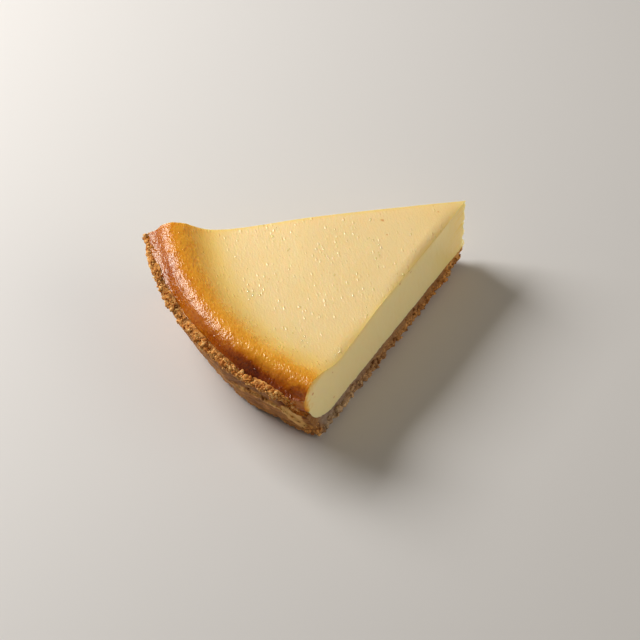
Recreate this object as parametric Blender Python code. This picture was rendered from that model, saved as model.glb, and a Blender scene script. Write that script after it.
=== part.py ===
"""A cut slice of baked cheesecake: a custard filling in a crumb crust with a flat base and a sloping wall.

Points are worked out about the slice's tip, in millimetres and degrees: r is the distance from the tip,
phi the angle from the middle line, positive towards the front cut, and z the height. The slice points
along +X, its back cut faces +Y and its front cut faces -Y.
"""
import math
import random

import bmesh
import bpy
from mathutils import Vector, geometry, noise

MM = 0.001
# The tip's place when the slice's box is centred on the origin
TIP_X, TIP_Y = 56.74, -1.37
HALF_ANGLE = 24.9

# Crumb crust
BASE_RADIUS = 101.0
CORNER_INSET = 1.6
FOOT_SPREAD, WALL_BELLY = 1.2, 0.95
CORNER_ROUND = 1.6
BASE_THICKNESS = 6.0
FOOT_ROUND = 1.6
RIM_HEIGHT = 29.0
RIM_DROP = 1.2
WALL_THICKNESS = 3.0
INNER_FILLET = 9.0
FILLET_HEIGHTS = (0.3, 1.2, 2.8, 5.4, 9.0)
TIP_FOOT, TIP_LIP = 8.0, 0.9
CRUMB_SIZE = 2.6
EDGE_SHARE = 0.7
CRUST_SPACING = 1.45
HIDDEN_SPACING = 3.0
UNROLL_RADIUS = 110.0

# The wall's upper part is broken away beside the front cut, and a flake has come off its outside
BREAK_START, BREAK_END = 20.6, 22.4
BROKEN_HEIGHT = 17.0
BARE_DELAY = 1.0
BARE_REACH = 3.2
BARE_SPREAD = 0.6
FLAKE_START = 7.0
FLAKE_DEPTH = 0.9
SLOT_DEPTH = 1.6

# Custard filling
GAP = 0.3
SWELL_SPACING = 2.2
FLAT_SPACING = 4.2
FIRST_RADIUS = 3.5
DIP_RADIUS = 82.0
TIP_SPACING = 1.6
TIP_LEAN = 1.1
# Chips out of the tip's upright edge: height, depth and half width
TIP_CHIPS = ((16.3, 0.8, 1.6), (10.6, 1.1, 1.5), (23.0, 0.3, 3.0))


def ease(low, high, value):
    """Rises smoothly from 0 at low to 1 at high."""
    t = min(1.0, max(0.0, (value - low) / (high - low)))
    return t * t * (3.0 - 2.0 * t)


def mix(a, b, share):
    return a + (b - a) * share


def curve_through(points):
    """Gives a smooth function through (x, y) points, constant beyond its ends."""
    xs, ys = zip(*points)
    last = len(xs) - 1
    slopes = []
    for i in range(len(xs)):
        before, after = max(0, i - 1), min(last, i + 1)
        slopes.append((ys[after] - ys[before]) / (xs[after] - xs[before]))

    def value(x):
        if x <= xs[0]:
            return ys[0]
        if x >= xs[last]:
            return ys[last]
        i = max(n for n in range(last) if xs[n] <= x)
        width = xs[i + 1] - xs[i]
        t = (x - xs[i]) / width
        start = ys[i] * (1 + 2 * t) * (1 - t) ** 2 + slopes[i] * width * t * (1 - t) ** 2
        end = ys[i + 1] * t * t * (3 - 2 * t) + slopes[i + 1] * width * t * t * (t - 1)
        return start + end

    return value


# Radius of the rim's outer edge along the arc, from the back cut to the front cut
rim_radius = curve_through([(-25, 113.7), (-12, 114.2), (2, 113.8), (11, 113.2), (16, 112.3), (20, 112.3), (25, 112.1)])

# Height of the filling's top from the tip to the wall: a flat middle, a dip and a swollen edge
MIDDLE_TOP = curve_through([
    (0, 29.2), (40, 29.1), (60, 28.5), (72, 27.5), (84, 27.0), (90, 27.6), (94, 28.9),
    (98, 31.1), (101, 32.6), (104.5, 33.2), (108, 32.3), (110.4, 29.7)])
FRONT_TOP = curve_through([
    (0, 29.2), (6, 28.6), (20, 28.1), (32, 28.1), (46, 28.4), (60, 28.5), (71, 27.9), (80, 27.1),
    (86, 26.9), (91, 28.4), (95, 30.1), (99, 31.4), (102, 31.9), (104.2, 31.2), (106, 29.4), (107.2, 27.0),
    (110.4, 26.6)])
TOP_PROFILE_END = 110.4
TOP_WAVES, TOP_WAVE_LENGTH = 0.25, 11.0

# Side of the filling where the crust has broken away: a browned hollow under a browned lip
BARE_SIDE = curve_through([(17.0, 104.6), (18.4, 104.4), (20.0, 105.8), (22.3, 106.9), (27.0, 107.2)])
# Lower edge of the fallen flake along the arc
flake_edge = curve_through([
    (7, 13.0), (10, 14.5), (13, 15.5), (17, 14.8), (19.8, 14.5), (20.4, 13.3), (21.5, 10.3), (23.1, 8.0), (25, 7.0)])


def break_share(phi):
    """Is 0 where the wall is whole and 1 where it has broken away."""
    return ease(BREAK_START, BREAK_END, phi)


def rim_height(phi):
    waves = 0.5 * math.sin(math.radians(19 * phi)) + 0.35 * math.sin(math.radians(43 * phi + 60))
    whole = RIM_HEIGHT + waves - RIM_DROP * ease(1, 10, phi)
    return mix(whole, BROKEN_HEIGHT, break_share(phi))


def wall_outer(phi, z):
    whole = ease(15, 9, phi)
    inset = CORNER_INSET * ease(10, HALF_ANGLE, phi) + CORNER_ROUND * ease(22.8, 25.2, phi)
    base = BASE_RADIUS + FOOT_SPREAD * whole - inset
    rise = z / RIM_HEIGHT
    belly = WALL_BELLY * whole * 4.0 * rise * (1.0 - rise)
    foot = FOOT_ROUND * max(0.0, 1.0 - z / FOOT_ROUND) ** 2
    return mix(base, rim_radius(phi), rise) + belly - foot


def wall_inner(phi, z):
    """Inner radius of the wall, which meets the base's top in a quarter round."""
    rise = min(1.0, max(0.0, (z - BASE_THICKNESS) / INNER_FILLET))
    fillet = INNER_FILLET * (1.0 - math.sqrt(1.0 - (1.0 - rise) ** 2))
    return wall_outer(phi, z) - WALL_THICKNESS - fillet


def filling_side(phi, z):
    covered = wall_inner(phi, max(BASE_THICKNESS, z - GAP)) - GAP
    bare = min(BARE_SIDE(z) + BARE_SPREAD * (HALF_ANGLE - phi), covered + BARE_REACH)
    above_wall = z - rim_height(phi - BARE_DELAY)
    return mix(covered, bare, ease(0.8, 3.0, above_wall) * ease(0.0, 0.15, break_share(phi - BARE_DELAY)))


def top_height(r, phi):
    """Height of the filling's top, with its profile stretched to end at the wall."""
    end = mix(rim_radius(phi) - WALL_THICKNESS - 0.5, TOP_PROFILE_END, ease(14, 24, phi))
    along = r + (TOP_PROFILE_END - end) * (r / end) ** 4
    height = mix(MIDDLE_TOP(along), FRONT_TOP(along), ease(6, 24, phi))
    inside = 1.0 - ease(end - 6, end, r)
    return height + inside * TOP_WAVES * noise.noise(from_tip((r, phi, 0)) / TOP_WAVE_LENGTH)


def top_edge(phi):
    """Radius and height of the filling's outer top edge, where its top meets its side."""
    z = mix(MIDDLE_TOP(TOP_PROFILE_END), FRONT_TOP(TOP_PROFILE_END), ease(6, 24, phi))
    for _ in range(6):
        r = filling_side(phi, z)
        z = 0.5 * (z + top_height(r, phi))
    return r, z


def tip_edge(z):
    """Distance of the tip's edge from its axis at height z: it leans out at its foot and is chipped."""
    chips = sum(depth * math.exp(-((z - height) / width) ** 2) for height, depth, width in TIP_CHIPS)
    return chips - TIP_LEAN * (1.0 - z / RIM_HEIGHT)


def crust_tip(z):
    """The crust's tip has crumbled away more at its foot than under the filling."""
    return mix(TIP_FOOT, TIP_LIP, z / BASE_THICKNESS)


def even_steps(low, high, spacing):
    count = max(1, round(abs(high - low) / spacing))
    return [low + (high - low) * i / count for i in range(count + 1)]


def even_line(place, low, high, spacing):
    """Points of place(t) for t from low to high, about spacing apart along the line."""
    fine = [low + (high - low) * i / 400 for i in range(401)]
    spots = [from_tip(place(t)) for t in fine]
    travelled = [0.0]
    for a, b in zip(spots, spots[1:]):
        travelled.append(travelled[-1] + (b - a).length)
    wanted = even_steps(0.0, travelled[-1], spacing)
    line, n = [], 0
    for distance in wanted[:-1]:
        while travelled[n + 1] < distance:
            n += 1
        share = (distance - travelled[n]) / (travelled[n + 1] - travelled[n])
        line.append(place(mix(fine[n], fine[n + 1], share)))
    return line + [place(high)]


def from_tip(point):
    """Millimetres along X, Y and Z from the foot of the tip."""
    r, phi, z = point
    angle = math.radians(phi)
    return Vector((-r * math.cos(angle), -r * math.sin(angle), z))


def to_world(point):
    return (from_tip(point) + Vector((TIP_X, TIP_Y, 0))) * MM


def plan(point):
    """Flattens a point to the view from above."""
    return from_tip(point).xy


def cut_plane(point):
    """Flattens a point to the plane of its cut."""
    return (point[0], point[2])


def unroll(point):
    """Flattens a point of the curved side."""
    return (math.radians(point[1]) * UNROLL_RADIUS, point[2])


def roll_onto(radius):
    """Gives the way back from unroll onto the surface radius(phi, z)."""
    def place(spot):
        phi = math.degrees(spot[0] / UNROLL_RADIUS)
        return (radius(phi, spot[1]), phi, spot[1])
    return place


def along_arc(place, spacing):
    """Points of place(phi) from the back cut to the front cut."""
    return even_line(place, -HALF_ANGLE, HALF_ANGLE, spacing)


def turned(edge):
    return edge[::-1]


def inside_polygon(polygon, x, y):
    inside = False
    for (ax, ay), (bx, by) in zip(polygon, polygon[1:] + polygon[:1]):
        if (ay > y) != (by > y) and x < ax + (y - ay) * (bx - ax) / (by - ay):
            inside = not inside
    return inside


class Solid:
    """Gathers triangulated patches that share their edges into one closed mesh."""

    def __init__(self, name, colour, roughness):
        self.name, self.colour, self.roughness = name, colour, roughness
        self.index, self.points, self.pushes, self.faces = {}, [], [], []
        self.random = random.Random(7)

    def vertex(self, point):
        key = tuple(round(v, 4) for v in (point[0], point[1] if point[0] > 1e-6 else 0.0, point[2]))
        if key not in self.index:
            self.index[key] = len(self.points)
            self.points.append(point)
            self.pushes.append(Vector((0, 0, 0)))
        return self.index[key]

    def patch(self, edges, flatten, unflatten=None, spacing=None, inner=(), push=None):
        """Fills the loop of edges; flatten maps a point to a plane and unflatten maps it back."""
        loop = []
        for edge in edges:
            loop += edge[:-1]
        outline = [flatten(p) for p in loop]
        extra = list(inner)
        if spacing:
            extra += self.spread(outline, [flatten(p) for p in extra], spacing, unflatten)
        everything = loop + extra
        flat = outline + [flatten(p) for p in extra]
        area = sum(a[0] * b[1] - b[0] * a[1] for a, b in zip(outline, outline[1:] + outline[:1]))
        order = list(range(len(loop)))
        if area < 0:
            order.reverse()
        result = geometry.delaunay_2d_cdt([Vector(p) for p in flat], [], [order], 1, 1e-6)
        numbers = [self.vertex(everything[source[0]]) for source in result[3]]
        for face in result[2]:
            self.faces.append([numbers[i] for i in face])
        if push:
            for number in set(numbers):
                shared = EDGE_SHARE if self.pushes[number].length > 0 else 1.0
                self.pushes[number] = shared * (self.pushes[number] + push(self.points[number]))

    def spread(self, outline, taken, spacing, unflatten):
        """Points inside an outline on a slightly uneven triangular grid, clear of the points taken."""
        xs, ys = [p[0] for p in outline], [p[1] for p in outline]
        taken = outline + taken
        found, row = [], 0
        y = min(ys) + spacing * 0.8
        while y < max(ys):
            x = min(xs) + spacing * (0.5 if row % 2 else 1.0)
            while x < max(xs):
                spot = tuple(v + self.random.uniform(-0.2, 0.2) * spacing for v in (x, y))
                near = min((spot[0] - a) ** 2 + (spot[1] - b) ** 2 for a, b in taken)
                if near > (0.62 * spacing) ** 2 and inside_polygon(outline, *spot):
                    found.append(unflatten(spot))
                x += spacing
            y += spacing * 0.87
            row += 1
        return found

    def build(self):
        mesh = bpy.data.meshes.new(self.name)
        places = [to_world(p) + push * MM for p, push in zip(self.points, self.pushes)]
        mesh.from_pydata(places, [], self.faces)
        body = bpy.data.objects.new(self.name, mesh)
        bpy.context.scene.collection.objects.link(body)
        mesh.materials.append(food_material(self.name, self.colour, self.roughness))
        face_outwards(mesh)
        mesh.shade_smooth()
        mesh.set_sharp_from_angle(angle=math.radians(40))
        return body


def face_outwards(mesh):
    """Turns every face of the closed mesh outwards."""
    form = bmesh.new()
    form.from_mesh(mesh)
    bmesh.ops.recalc_face_normals(form, faces=form.faces)
    form.to_mesh(mesh)
    form.free()


def food_material(name, colour, roughness):
    material = bpy.data.materials.new(name)
    material.use_nodes = True
    shader = material.node_tree.nodes["Principled BSDF"]
    shader.inputs["Base Color"].default_value = (*colour, 1.0)
    shader.inputs["Roughness"].default_value = roughness
    shader.inputs["Metallic"].default_value = 0.0
    return material


def outward(phi):
    angle = math.radians(phi)
    return Vector((-math.cos(angle), -math.sin(angle), 0))


def sideways(side):
    """Direction that a cut faces: side is 1 at the front cut and -1 at the back cut."""
    angle = math.radians(side * HALF_ANGLE)
    return side * Vector((math.sin(angle), -math.cos(angle), 0))


def crumbs(point, size=CRUMB_SIZE):
    """Rounded crumbs with gaps between them, from 0 to 1."""
    place = from_tip(point)
    coarse = noise.voronoi(place / size)[0][0]
    fine = noise.voronoi(place / (0.5 * size) + Vector((9, 2, 5)))[0][0]
    return 0.7 * max(0.0, 1.0 - 1.25 * coarse) + 0.3 * max(0.0, 1.0 - 1.25 * fine)


def crumb_cut(side):
    def push(point):
        r, _, z = point
        smear = ease(0.55, 0.8, z / BASE_THICKNESS - 0.5 * ease(92, 104, r))
        depth = mix(2.6, 0.7, smear)
        return sideways(side) * (depth * crumbs(point) - 0.35)
    return push


def crumb_tip(point):
    return Vector((1.0, 0, 0)) * (2.2 * crumbs(point) - 0.5)


def wall_relief(point):
    """The wall is pressed smooth by its tin, craggy at the rim and the foot, with one flake missing."""
    r, phi, z = point
    craggy = max(ease(RIM_HEIGHT - 5.5, RIM_HEIGHT - 2.5, z), 0.7 * (1 - ease(1.5, 5.0, z)))
    relief = mix(0.5, 2.0, craggy) * (crumbs(point) - 0.25)
    flake = ease(flake_edge(phi) - 0.6, flake_edge(phi) + 0.6, z) * ease(FLAKE_START, FLAKE_START + 4, phi)
    slot = SLOT_DEPTH * ease(19.0, 20.4, phi) * ease(16.5, 18.0, z) * (1 - break_share(phi))
    hollow = (FLAKE_DEPTH * flake + slot) * (1 - ease(RIM_HEIGHT - 4.5, RIM_HEIGHT - 2.5, z))
    return outward(phi) * (relief - hollow)


def rim_relief(point):
    r, phi, z = point
    height = mix(2.6, 1.0, ease(0.0, 0.1, break_share(phi))) * crumbs(point, 3.2) - 0.5
    return Vector((0, 0, 1)) * ease(0.0, 1.4, r - wall_inner(phi, z)) * height


def make_crust():
    crust = Solid("crumb_crust", (0.42, 0.22, 0.08), 0.9)

    def arc(radius, height, spacing):
        return along_arc(lambda phi: (radius(phi, height(phi)), phi, height(phi)), spacing)

    foot = arc(wall_outer, lambda phi: 0.0, CRUST_SPACING)
    rim_outer = arc(wall_outer, rim_height, CRUST_SPACING)
    rim_inner = arc(wall_inner, rim_height, CRUST_SPACING)
    floor_edge = arc(wall_inner, lambda phi: BASE_THICKNESS, HIDDEN_SPACING)
    tip_low = arc(lambda phi, z: crust_tip(z), lambda phi: 0.0, CRUST_SPACING)
    tip_high = arc(lambda phi, z: crust_tip(z), lambda phi: BASE_THICKNESS, CRUST_SPACING)

    sides = {}
    for side in (-1, 1):
        phi = side * HALF_ANGLE
        top = rim_height(phi)

        def line(place, low, high):
            return even_line(place, low, high, CRUST_SPACING)

        sides[side] = {
            "bottom": line(lambda r: (r, phi, 0.0), TIP_FOOT, wall_outer(phi, 0.0)),
            "outer": line(lambda z: (wall_outer(phi, z), phi, z), 0.0, top),
            "rim": line(lambda r: (r, phi, top), wall_outer(phi, top), wall_inner(phi, top)),
            "inner": line(lambda z: (wall_inner(phi, z), phi, z), top, BASE_THICKNESS),
            "floor": line(lambda r: (r, phi, BASE_THICKNESS), wall_inner(phi, BASE_THICKNESS), TIP_LIP),
            "tip": line(lambda z: (crust_tip(z), phi, z), BASE_THICKNESS, 0.0),
        }
        edges = [sides[side][n] for n in ("bottom", "outer", "rim", "inner", "floor", "tip")]
        crust.patch(edges, cut_plane, lambda s: (s[0], phi, s[1]), CRUST_SPACING, push=crumb_cut(side))

    back, front = sides[-1], sides[1]
    crust.patch([foot, front["outer"], turned(rim_outer), turned(back["outer"])],
                unroll, roll_onto(wall_outer), CRUST_SPACING, push=wall_relief)
    rim_middle = arc(lambda phi, z: wall_inner(phi, z) + WALL_THICKNESS / 2, rim_height, CRUST_SPACING)
    crust.patch([rim_outer, front["rim"], turned(rim_inner), turned(back["rim"])],
                lambda p: (p[1] * 2, p[0] - wall_inner(p[1], p[2])), push=rim_relief, inner=rim_middle[1:-1])
    fillet_rows = []
    for height in FILLET_HEIGHTS:
        fillet_rows += arc(wall_inner, lambda phi: BASE_THICKNESS + height, HIDDEN_SPACING)[1:-1]
    fillet_rows = [p for p in fillet_rows if p[2] < rim_height(p[1]) - 0.7]
    crust.patch([rim_inner, front["inner"], turned(floor_edge), turned(back["inner"])],
                unroll, roll_onto(wall_inner), HIDDEN_SPACING, inner=fillet_rows)
    crust.patch([floor_edge, front["floor"], turned(tip_high), turned(back["floor"])], plan)
    crust.patch([tip_low, turned(front["tip"]), turned(tip_high), back["tip"]],
                lambda p: (p[1], p[2]), push=crumb_tip)
    crust.patch([foot, turned(front["bottom"]), turned(tip_low), back["bottom"]], plan)
    return crust.build()


def edge_point(phi):
    r, z = top_edge(phi)
    return (r, phi, z)


def make_filling():
    filling = Solid("custard_filling", (0.80, 0.60, 0.30), 0.45)
    bottom_height = BASE_THICKNESS + GAP
    rim = along_arc(edge_point, SWELL_SPACING)
    foot = along_arc(lambda phi: (filling_side(phi, bottom_height), phi, bottom_height), HIDDEN_SPACING)
    tip = even_line(lambda z: (tip_edge(z), 0.0, z), bottom_height, top_height(0.0, 0.0), TIP_SPACING)

    sides = {}
    for side in (-1, 1):
        phi = side * HALF_ANGLE

        def top_line(r):
            return (r, phi, top_height(r, phi))

        flat = even_line(top_line, FIRST_RADIUS, DIP_RADIUS, FLAT_SPACING)
        edge_r, edge_z = top_edge(phi)
        swell = even_line(top_line, DIP_RADIUS, edge_r, SWELL_SPACING)[:-1] + [edge_point(phi)]
        top = [tip[-1]] + flat[:-1] + swell
        outer = even_line(lambda z: (filling_side(phi, z), phi, z), edge_z, bottom_height, SWELL_SPACING)
        outer[0] = edge_point(phi)
        bottom = even_line(lambda r: (r, phi, bottom_height),
                           filling_side(phi, bottom_height), FIRST_RADIUS, FLAT_SPACING)
        sides[side] = {"top": top, "outer": outer, "bottom": bottom + [tip[0]]}
        filling.patch([top, outer, sides[side]["bottom"], tip],
                      cut_plane, lambda s: (s[0], phi, s[1]), FLAT_SPACING)

    back, front = sides[-1], sides[1]
    inner = []
    along = 2 * FLAT_SPACING
    while along < TOP_PROFILE_END - 0.6 * SWELL_SPACING:
        spacing = mix(FLAT_SPACING, SWELL_SPACING, ease(66, 84, along))
        for phi in even_steps(-HALF_ANGLE, HALF_ANGLE, math.degrees(spacing / along))[1:-1]:
            r = along - (TOP_PROFILE_END - top_edge(phi)[0]) * (along / TOP_PROFILE_END) ** 4
            inner.append((r, phi, top_height(r, phi)))
        along += spacing * 0.9
    filling.patch([front["top"], turned(rim), turned(back["top"])], plan, inner=inner)
    fillet_rows = []
    for height in (bottom_height + rise for rise in FILLET_HEIGHTS):
        fillet_rows += along_arc(lambda phi: (filling_side(phi, height), phi, height), HIDDEN_SPACING)[1:-1]
    filling.patch([foot, turned(front["outer"]), turned(rim), back["outer"]],
                  unroll, roll_onto(filling_side), HIDDEN_SPACING, inner=fillet_rows)
    filling.patch([foot, front["bottom"], turned(back["bottom"])], plan)
    return filling.build()


def main():
    for item in list(bpy.data.objects):
        bpy.data.objects.remove(item)
    make_crust()
    make_filling()


main()
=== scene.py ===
"""The looks of a cut slice of baked cheesecake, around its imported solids.

Points are worked out about the slice's tip, in millimetres and degrees: r is the distance from the tip,
phi the angle from the middle line, positive towards the front cut, and z the height.
"""
import math
import random

import bmesh
import bpy
import numpy as np
from mathutils import Matrix, Quaternion, Vector, geometry, kdtree, noise


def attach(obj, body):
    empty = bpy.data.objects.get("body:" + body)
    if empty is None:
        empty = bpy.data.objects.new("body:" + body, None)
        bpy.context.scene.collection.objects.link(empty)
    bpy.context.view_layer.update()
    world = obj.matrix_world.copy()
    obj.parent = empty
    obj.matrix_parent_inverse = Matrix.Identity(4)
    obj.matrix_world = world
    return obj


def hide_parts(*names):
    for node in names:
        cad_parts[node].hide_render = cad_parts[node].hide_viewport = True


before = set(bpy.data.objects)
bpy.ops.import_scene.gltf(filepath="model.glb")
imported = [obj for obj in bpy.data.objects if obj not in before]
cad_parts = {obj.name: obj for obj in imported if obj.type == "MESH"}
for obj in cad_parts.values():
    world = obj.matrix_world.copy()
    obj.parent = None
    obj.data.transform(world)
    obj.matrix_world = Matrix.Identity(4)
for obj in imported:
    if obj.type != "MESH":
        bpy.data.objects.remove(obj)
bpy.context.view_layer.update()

MM = 0.001
TIP_X, TIP_Y = 56.74, -1.37
HALF_ANGLE = 24.9

# Crumb crust
BASE_RADIUS = 101.0
CORNER_INSET = 1.6
FOOT_SPREAD, WALL_BELLY = 1.2, 0.95
CORNER_ROUND = 1.6
BASE_THICKNESS = 6.0
FOOT_ROUND = 1.6
RIM_HEIGHT = 29.0
RIM_DROP = 1.2
WALL_THICKNESS = 3.0
INNER_FILLET = 9.0
TIP_FOOT, TIP_LIP = 8.0, 0.9
CRUMB_SIZE, GRIT_SIZE = 2.6, 0.95
EDGE_SHARE = 0.7
UNROLL_RADIUS = 110.0
BREAK_START, BREAK_END = 20.6, 22.4
BROKEN_HEIGHT = 17.0
BARE_DELAY = 1.0
BARE_REACH = 3.2
BARE_SPREAD = 0.6
FLAKE_START = 7.0
FLAKE_DEPTH = 0.9
SLOT_DEPTH = 1.6
# How far the custard has risen over the wall's upper edge, at the back cut and further on
OVERLAP_BACK, OVERLAP = 1.5, 1.1

# Custard filling; it lies against the crust, so the gap that parts the solids is closed
GAP = -0.15
TIP_LEAN = 1.1
TIP_CHIPS = ((16.3, 0.8, 1.6), (10.6, 1.1, 1.5), (23.0, 0.3, 3.0))
TOP_PROFILE_END = 110.4
# Angles between which the top's profile changes from the middle's to the front cut's
FRONT_BLEND = (6, 24)
# Over this width the top rounds off towards the front cut, by this much where it is flat
EDGE_WIDTH, EDGE_DROP = 3.8, 0.6
# How much steeper the crest's outer slope ends beyond the back corner
STEEPER = 1.6
TOP_WAVES, TOP_WAVE_LENGTH = 0.1, 11.0

# Mesh spacing of what shows and of what lies inside
FINE, MEDIUM, COARSE = 0.46, 0.58, 2.4
LINE_SAMPLES = 600


def ease(low, high, value):
    """Rises smoothly from 0 at low to 1 at high."""
    t = min(1.0, max(0.0, (value - low) / (high - low)))
    return t * t * (3.0 - 2.0 * t)


def mix(a, b, share):
    return a + (b - a) * share


def bell(middle, width, value):
    return math.exp(-((value - middle) / width) ** 2)


def curve_through(points):
    """Gives a smooth function through (x, y) points, constant beyond its ends."""
    xs, ys = zip(*points)
    last = len(xs) - 1
    slopes = []
    for i in range(len(xs)):
        before, after = max(0, i - 1), min(last, i + 1)
        slopes.append((ys[after] - ys[before]) / (xs[after] - xs[before]))

    def value(x):
        if x <= xs[0]:
            return ys[0]
        if x >= xs[last]:
            return ys[last]
        i = 0
        while xs[i + 1] < x:
            i += 1
        width = xs[i + 1] - xs[i]
        t = (x - xs[i]) / width
        start = ys[i] * (1 + 2 * t) * (1 - t) ** 2 + slopes[i] * width * t * (1 - t) ** 2
        end = ys[i + 1] * t * t * (3 - 2 * t) + slopes[i + 1] * width * t * t * (t - 1)
        return start + end

    return value


# The solids' own forms: the rim's radius, the top's profiles and the bare side at the broken corner
rim_radius = curve_through([
    (-25, 113.7), (-12, 114.2), (2, 113.8), (11, 113.2), (16, 112.3), (20, 112.3), (25, 112.1)])
MIDDLE_TOP = curve_through([
    (0, 29.2), (40, 29.1), (60, 28.5), (72, 27.5), (84, 27.0), (90, 27.6), (94, 28.9),
    (98, 31.1), (101, 32.6), (104.5, 33.2), (107.6, 32.3), (110.0, 30.1), (112.2, 29.2)])
FRONT_TOP = curve_through([
    (0, 29.2), (6, 28.6), (20, 28.1), (32, 28.1), (46, 28.4), (60, 28.5), (71, 27.9), (80, 27.1),
    (86, 26.9), (91, 28.4), (95, 30.1), (99, 31.4), (102, 31.9), (104.2, 31.2), (106, 29.4), (107.2, 27.0),
    (110.4, 26.6)])
BARE_SIDE = curve_through([(17.0, 104.6), (18.4, 104.4), (20.0, 105.8), (22.3, 106.9), (27.0, 107.2)])
# Lower edges of the pale broken face at the corner and of the flake missing from the wall, by angle
WEDGE_EDGE = curve_through([(19.2, 13.0), (20.2, 9.2), (20.8, 7.4), (22.0, 5.4), (24.9, 5.0)])
flake_edge = curve_through([
    (7, 13.0), (10, 14.5), (13, 15.5), (17, 14.8), (19.8, 14.5), (20.4, 13.3), (21.5, 10.3),
    (23.1, 8.0), (25, 7.0)])


def break_share(phi):
    """Is 0 where the wall is whole and 1 where it has broken away."""
    return ease(BREAK_START, BREAK_END, phi)


def rim_height(phi):
    waves = 0.5 * math.sin(math.radians(19 * phi)) + 0.35 * math.sin(math.radians(43 * phi + 60))
    whole = RIM_HEIGHT + waves - RIM_DROP * ease(1, 10, phi)
    return mix(whole, BROKEN_HEIGHT, break_share(phi))


def wall_outer(phi, z):
    whole = ease(15, 9, phi)
    inset = CORNER_INSET * ease(10, HALF_ANGLE, phi) + CORNER_ROUND * ease(22.8, 25.2, phi)
    base = BASE_RADIUS + FOOT_SPREAD * whole - inset
    rise = z / RIM_HEIGHT
    belly = WALL_BELLY * whole * 4.0 * rise * (1.0 - rise)
    foot = FOOT_ROUND * max(0.0, 1.0 - z / FOOT_ROUND) ** 2
    return mix(base, rim_radius(phi), rise) + belly - foot


def wall_inner(phi, z):
    """Inner radius of the wall, which meets the base's top in a quarter round."""
    rise = min(1.0, max(0.0, (z - BASE_THICKNESS) / INNER_FILLET))
    fillet = INNER_FILLET * (1.0 - math.sqrt(1.0 - (1.0 - rise) ** 2))
    return wall_outer(phi, z) - WALL_THICKNESS - fillet


def overlap(phi):
    return mix(OVERLAP_BACK, OVERLAP, ease(-17, -7, phi))


def bare_share(phi, z):
    above_wall = z - rim_height(phi - BARE_DELAY)
    return ease(0.8, 3.0, above_wall) * ease(0.0, 0.15, break_share(phi - BARE_DELAY))


def filling_side(phi, z):
    covered = wall_inner(phi, max(BASE_THICKNESS, z - GAP)) - GAP
    bare = min(BARE_SIDE(z) + BARE_SPREAD * (HALF_ANGLE - phi), covered + BARE_REACH)
    risen = overlap(phi) * ease(-0.9, -0.2, z - rim_height(phi)) * (1 - break_share(phi))
    return mix(covered + risen, bare, bare_share(phi, z))


def top_height(r, phi):
    """Height of the filling's top, with its profile stretched to end at the wall."""
    end = mix(rim_radius(phi) - WALL_THICKNESS - 0.5, TOP_PROFILE_END, ease(14, 24, phi))
    along = r + (TOP_PROFILE_END - end) * (r / end) ** 4
    from_front = max(0.0, r * math.sin(math.radians(HALF_ANGLE - phi)))
    rounding = max(0.0, 1.0 - from_front / EDGE_WIDTH) ** 2
    front = mix(rounding, ease(*FRONT_BLEND, phi), ease(62, 90, r))
    drop = EDGE_DROP * rounding * ease(60, 72, r) * ease(98, 90, r)
    drop += STEEPER * ease(108.4, 111.4, along) * ease(-15, -7, phi) * (1 - ease(18, 22, phi))
    height = mix(MIDDLE_TOP(along), FRONT_TOP(along), front) - drop
    inside = 1.0 - ease(end - 6, end, r)
    return height + inside * TOP_WAVES * noise.noise(from_tip((r, phi, 0)) / TOP_WAVE_LENGTH)


def top_edge(phi):
    """Radius and height of the filling's outer top edge, where its top meets its side."""
    z = mix(MIDDLE_TOP(TOP_PROFILE_END), FRONT_TOP(TOP_PROFILE_END), ease(*FRONT_BLEND, phi))
    for _ in range(8):
        r = filling_side(phi, z)
        z = 0.5 * (z + top_height(r, phi))
    return r, z


def tip_edge(z):
    """Distance of the tip's edge from its axis at height z: it leans out at its foot and is chipped."""
    chips = sum(depth * bell(height, width, z) for height, depth, width in TIP_CHIPS)
    return chips - TIP_LEAN * (1.0 - z / RIM_HEIGHT)


def crust_tip(z):
    return mix(TIP_FOOT, TIP_LIP, z / BASE_THICKNESS)


def even_line(place, low, high, spacing):
    """Points of place(t) for t from low to high, about spacing apart along the line."""
    fine = [low + (high - low) * i / LINE_SAMPLES for i in range(LINE_SAMPLES + 1)]
    spots = [from_tip(place(t)) for t in fine]
    travelled = [0.0]
    for a, b in zip(spots, spots[1:]):
        travelled.append(travelled[-1] + (b - a).length)
    count = max(1, round(travelled[-1] / spacing))
    line, n = [], 0
    for i in range(count):
        distance = travelled[-1] * i / count
        while travelled[n + 1] < distance:
            n += 1
        share = (distance - travelled[n]) / (travelled[n + 1] - travelled[n])
        line.append(place(mix(fine[n], fine[n + 1], share)))
    return line + [place(high)]


def from_tip(point):
    """Millimetres along X, Y and Z from the foot of the tip."""
    r, phi, z = point
    angle = math.radians(phi)
    return Vector((-r * math.cos(angle), -r * math.sin(angle), z))


def to_world(point):
    return (from_tip(point) + Vector((TIP_X, TIP_Y, 0))) * MM


def polar_plan(spot):
    return math.hypot(*spot), math.degrees(math.atan2(-spot[1], -spot[0]))


def to_polar(place):
    """The way back from a place in metres to r, phi and z."""
    return (*polar_plan((place[0] / MM - TIP_X, place[1] / MM - TIP_Y)), place[2] / MM)


def plan(point):
    return from_tip(point).xy


def cut_plane(point):
    return (point[0], point[2])


def unroll(point):
    return (math.radians(point[1]) * UNROLL_RADIUS, point[2])


def roll_onto(radius):
    """Gives the way back from unroll onto the surface radius(phi, z)."""
    def place(spot):
        phi = math.degrees(spot[0] / UNROLL_RADIUS)
        return (radius(phi, spot[1]), phi, spot[1])
    return place


def along_arc(place, spacing):
    return even_line(place, -HALF_ANGLE, HALF_ANGLE, spacing)


def turned(edge):
    return edge[::-1]


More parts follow.
